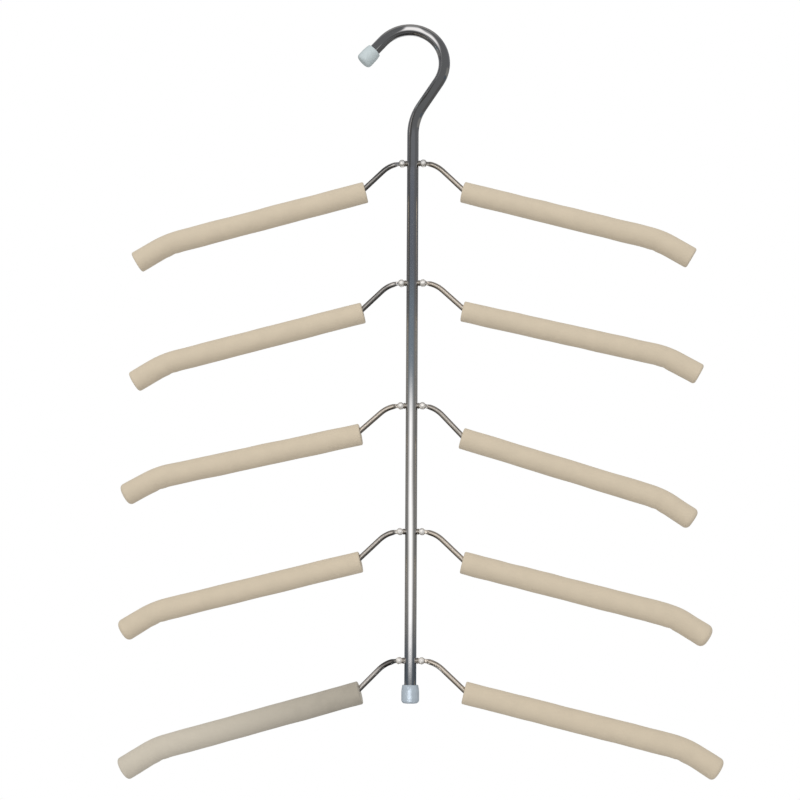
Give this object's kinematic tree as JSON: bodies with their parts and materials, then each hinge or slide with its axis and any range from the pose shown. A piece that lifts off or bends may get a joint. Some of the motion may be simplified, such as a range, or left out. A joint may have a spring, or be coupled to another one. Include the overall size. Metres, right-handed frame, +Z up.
{
  "type": "folding multi-tier hanger",
  "caption": "Multi-tier garment hanger: a chromed tube hook and post with foam-sleeved wire arms on riveted joints that fold up beside the post.",
  "frame": {"origin": "where the rail bears on the inside of the hook, at the crest of its bend, in the middle of the tube", "axes": "+X to the right of someone facing the hanger, +Y away from them, +Z up along the post; the hanger lies in the XZ plane"},
  "size_m": [0.4242, 0.0156, 0.5499],
  "materials": {
    "chrome": "bright chrome plate on steel",
    "rivet_steel": "bright nickel-plated steel",
    "foam": "beige closed-cell foam rubber, matt, with a fine skin",
    "cap_vinyl": "soft translucent bluish white vinyl"
  },
  "bodies": {
    "hook_and_post": {"hook_post": "chrome", "hook_cap": "cap_vinyl", "post_cap": "cap_vinyl", "cross_rod_1": "chrome", "cross_rod_2": "chrome", "cross_rod_3": "chrome", "cross_rod_4": "chrome", "cross_rod_5": "chrome", "rivet_left_1": "rivet_steel", "rivet_left_2": "rivet_steel", "rivet_left_3": "rivet_steel", "rivet_left_4": "rivet_steel", "rivet_left_5": "rivet_steel", "rivet_right_1": "rivet_steel", "rivet_right_2": "rivet_steel", "rivet_right_3": "rivet_steel", "rivet_right_4": "rivet_steel", "rivet_right_5": "rivet_steel"},
    "left_arm_1": {"wire_left_1": "chrome", "sleeve_left_1": "foam"},
    "left_arm_2": {"wire_left_2": "chrome", "sleeve_left_2": "foam"},
    "left_arm_3": {"wire_left_3": "chrome", "sleeve_left_3": "foam"},
    "left_arm_4": {"wire_left_4": "chrome", "sleeve_left_4": "foam"},
    "left_arm_5": {"wire_left_5": "chrome", "sleeve_left_5": "foam"},
    "right_arm_1": {"wire_right_1": "chrome", "sleeve_right_1": "foam"},
    "right_arm_2": {"wire_right_2": "chrome", "sleeve_right_2": "foam"},
    "right_arm_3": {"wire_right_3": "chrome", "sleeve_right_3": "foam"},
    "right_arm_4": {"wire_right_4": "chrome", "sleeve_right_4": "foam"},
    "right_arm_5": {"wire_right_5": "chrome", "sleeve_right_5": "foam"}
  },
  "joints": [
    {"name": "left_fold_5", "type": "hinge", "parent": "hook_and_post", "child": "left_arm_5", "pos_m": [-0.00452, 0, -0.45901], "axis": [0, 1, 0], "range_deg": [0, 80]},
    {"name": "left_fold_4", "type": "hinge", "parent": "hook_and_post", "child": "left_arm_4", "pos_m": [-0.00452, 0, -0.36901], "axis": [0, 1, 0], "range_deg": [0, 80]},
    {"name": "left_fold_3", "type": "hinge", "parent": "hook_and_post", "child": "left_arm_3", "pos_m": [-0.00452, 0, -0.27901], "axis": [0, 1, 0], "range_deg": [0, 80]},
    {"name": "left_fold_2", "type": "hinge", "parent": "hook_and_post", "child": "left_arm_2", "pos_m": [-0.00452, 0, -0.18901], "axis": [0, 1, 0], "range_deg": [0, 80]},
    {"name": "left_fold_1", "type": "hinge", "parent": "hook_and_post", "child": "left_arm_1", "pos_m": [-0.00452, 0, -0.09901], "axis": [0, 1, 0], "range_deg": [0, 80]},
    {"name": "right_fold_5", "type": "hinge", "parent": "hook_and_post", "child": "right_arm_5", "pos_m": [0.01108, 0, -0.45901], "axis": [0, -1, 0], "range_deg": [0, 80]},
    {"name": "right_fold_4", "type": "hinge", "parent": "hook_and_post", "child": "right_arm_4", "pos_m": [0.01108, 0, -0.36901], "axis": [0, -1, 0], "range_deg": [0, 80]},
    {"name": "right_fold_3", "type": "hinge", "parent": "hook_and_post", "child": "right_arm_3", "pos_m": [0.01108, 0, -0.27901], "axis": [0, -1, 0], "range_deg": [0, 80]},
    {"name": "right_fold_2", "type": "hinge", "parent": "hook_and_post", "child": "right_arm_2", "pos_m": [0.01108, 0, -0.18901], "axis": [0, -1, 0], "range_deg": [0, 80]},
    {"name": "right_fold_1", "type": "hinge", "parent": "hook_and_post", "child": "right_arm_1", "pos_m": [0.01108, 0, -0.09901], "axis": [0, -1, 0], "range_deg": [0, 80]}
  ],
  "couplings": [
    {"joint": "left_fold_4", "follows": "left_fold_5", "ratio": 1},
    {"joint": "left_fold_3", "follows": "left_fold_5", "ratio": 1},
    {"joint": "left_fold_2", "follows": "left_fold_5", "ratio": 1},
    {"joint": "left_fold_1", "follows": "left_fold_5", "ratio": 1},
    {"joint": "right_fold_4", "follows": "right_fold_5", "ratio": 1},
    {"joint": "right_fold_3", "follows": "right_fold_5", "ratio": 1},
    {"joint": "right_fold_2", "follows": "right_fold_5", "ratio": 1},
    {"joint": "right_fold_1", "follows": "right_fold_5", "ratio": 1}
  ]
}
